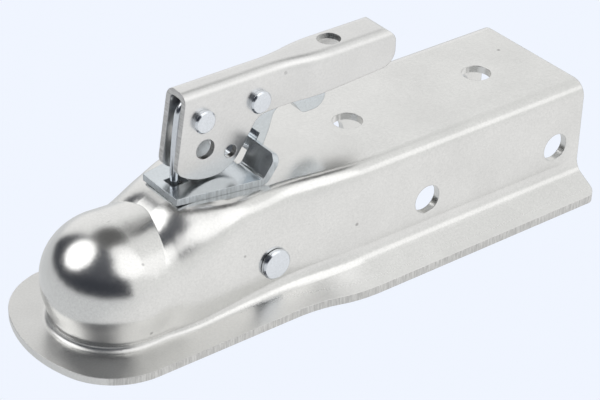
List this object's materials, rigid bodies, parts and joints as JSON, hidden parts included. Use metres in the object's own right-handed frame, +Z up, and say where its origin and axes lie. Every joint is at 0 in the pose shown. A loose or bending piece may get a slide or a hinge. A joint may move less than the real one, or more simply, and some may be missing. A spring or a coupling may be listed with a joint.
{
  "type": "trailer coupling head",
  "caption": "Pressed steel trailer coupling head for a straight channel tongue, with ball socket, lever latch, trigger and bolt holes.",
  "frame": {"origin": "centre of the tow ball in the socket", "axes": "+X back along the trailer tongue, +Z up, +Y to the right of a viewer at the tongue who looks forward"},
  "size_m": [0.27, 0.0988, 0.0986],
  "materials": {
    "body_zinc": "satin zinc plate",
    "latch_zinc": "satin zinc plate",
    "rivet_zinc": "satin zinc plate",
    "spring_steel": "drawn spring wire"
  },
  "bodies": {
    "coupler": {"coupler_body": "body_zinc", "latch_plate": "latch_zinc", "jaw_pin": "rivet_zinc", "jaw_spring": "spring_steel"},
    "rod": {"eye_rod": "rivet_zinc", "rod_washer": "rivet_zinc", "rod_nut": "rivet_zinc"},
    "handle": {"latch_handle": "body_zinc", "handle_rivet": "rivet_zinc", "trigger_rivet": "rivet_zinc", "spacer_sleeve": "rivet_zinc", "trigger_spring": "spring_steel"},
    "trigger": {"trigger": "latch_zinc"},
    "jaw": {"jaw": "latch_zinc"}
  },
  "joints": [
    {"name": "rod_slide", "type": "slide", "parent": "coupler", "child": "rod", "axis": [0, 0, -1], "range_m": [0, 0.0082]},
    {"name": "handle_hinge", "type": "hinge", "parent": "rod", "child": "handle", "pos_m": [0.0402, 0, 0.0654], "axis": [0, -1, 0], "range_deg": [0, 90]},
    {"name": "trigger_hinge", "type": "hinge", "parent": "handle", "child": "trigger", "pos_m": [0.0681, 0, 0.0654], "axis": [0, -1, 0], "range_deg": [0, 18], "stiffness_Nm_per_rad": 0.2, "springref_deg": -28.65, "deforming": ["trigger_spring"]},
    {"name": "jaw_pivot", "type": "hinge", "parent": "coupler", "child": "jaw", "pos_m": [0.0606, 0, 0.0009], "axis": [0, -1, 0], "range_deg": [0, 12.9], "deforming": ["jaw_spring"]}
  ],
  "couplings": [
    {"joint": "rod_slide", "follows": "handle_hinge", "m_per_rad": 0.0052},
    {"joint": "jaw_pivot", "follows": "handle_hinge", "ratio": 0.142}
  ]
}
